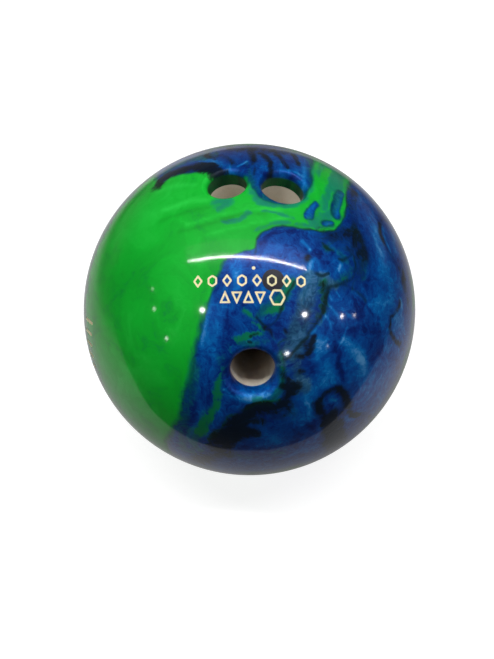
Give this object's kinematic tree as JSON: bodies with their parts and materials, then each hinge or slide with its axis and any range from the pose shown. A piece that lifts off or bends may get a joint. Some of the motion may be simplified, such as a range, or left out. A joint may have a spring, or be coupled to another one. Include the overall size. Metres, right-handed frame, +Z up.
{
  "type": "bowling ball",
  "caption": "Drilled ten-pin bowling ball with a glossy swirled shell, two finger holes, a thumb hole, a locator pin and engraved marks.",
  "frame": {"origin": "centre of the ball", "axes": "+Z up, just behind the two finger holes; -Y towards the front, where the thumb hole is; +X to the right"},
  "size_m": [0.2172, 0.2172, 0.2172],
  "materials": {
    "coverstock": "polished resin swirled in bright green, pearl blue and black",
    "filler": "matt cream resin with drilled walls",
    "weight_block": "matt dark heavy resin",
    "locator_pin": "polished charcoal resin",
    "paint": "cream paint in engraved grooves"
  },
  "bodies": {
    "root": {"coverstock": "coverstock", "outer_core": "filler", "weight_block": "weight_block", "locator_pin": "locator_pin", "upper_mark_1": "paint", "upper_mark_2": "paint", "upper_mark_3": "paint", "upper_mark_4": "paint", "upper_mark_5": "paint", "upper_mark_6": "paint", "upper_mark_7": "paint", "upper_mark_8": "paint", "lower_mark_1": "paint", "lower_mark_2": "paint", "lower_mark_3": "paint", "lower_mark_4": "paint", "lower_mark_5": "paint", "side_mark_1": "paint", "side_mark_2": "paint", "side_mark_3": "paint", "side_mark_4": "paint", "side_mark_5": "paint", "cg_mark": "paint"}
  },
  "joints": []
}
